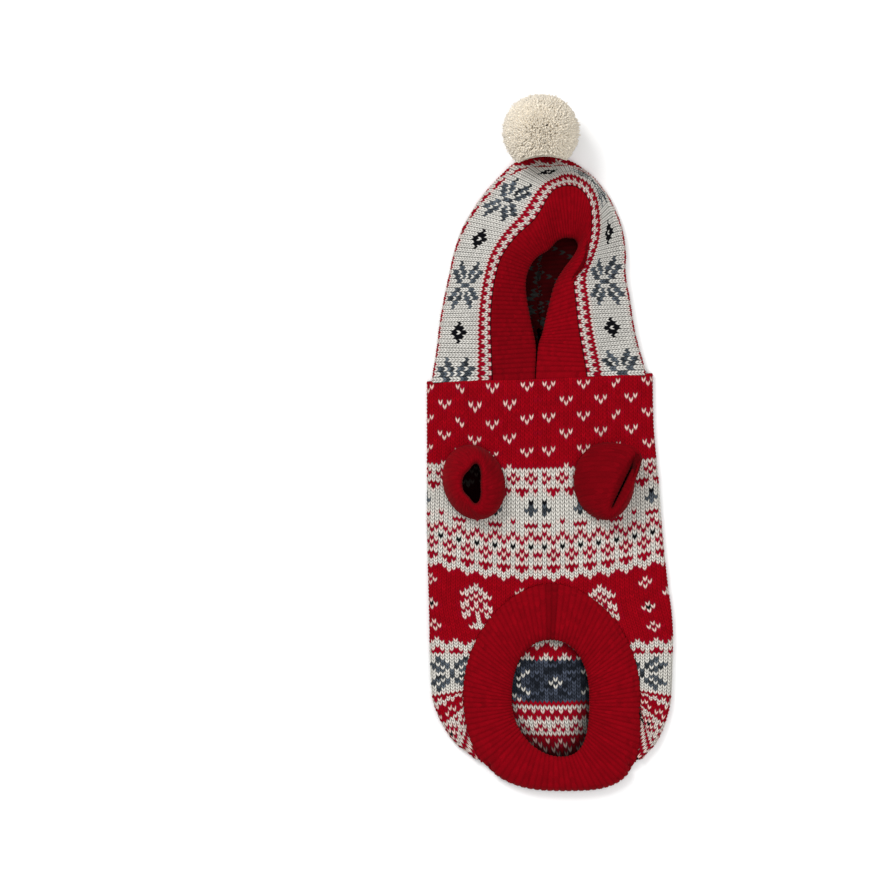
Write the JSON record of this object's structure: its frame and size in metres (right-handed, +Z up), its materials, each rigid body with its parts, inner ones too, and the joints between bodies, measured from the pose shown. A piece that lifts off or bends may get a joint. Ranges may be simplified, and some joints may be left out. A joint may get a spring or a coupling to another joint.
{
  "type": "knit dog hoodie",
  "caption": "Knitted dog hoodie with a winter pattern, ribbed hem ring, leg cuffs and face band, and a pompom on the hood, lying flat belly side up.",
  "frame": {"origin": "middle of the garment's box, on the surface that it lies on", "axes": "+Z up out of the belly side, +Y from the hem towards the pompom, +X to the right seen from above"},
  "size_m": [0.2096, 0.5896, 0.0657],
  "materials": {
    "patterned_knit": "two-colour float jacquard knit in crimson, cream, grey and black yarn",
    "crimson_rib": "one-by-one rib knit, matt yarn",
    "cream_yarn": "cut yarn, matt and fluffy"
  },
  "bodies": {
    "root": {"body_panel": "patterned_knit", "hood_panel": "patterned_knit", "face_rib_band": "crimson_rib", "hem_rib_band": "crimson_rib", "leg_cuff_left": "crimson_rib", "leg_cuff_right": "crimson_rib", "pompom": "cream_yarn"}
  },
  "joints": []
}
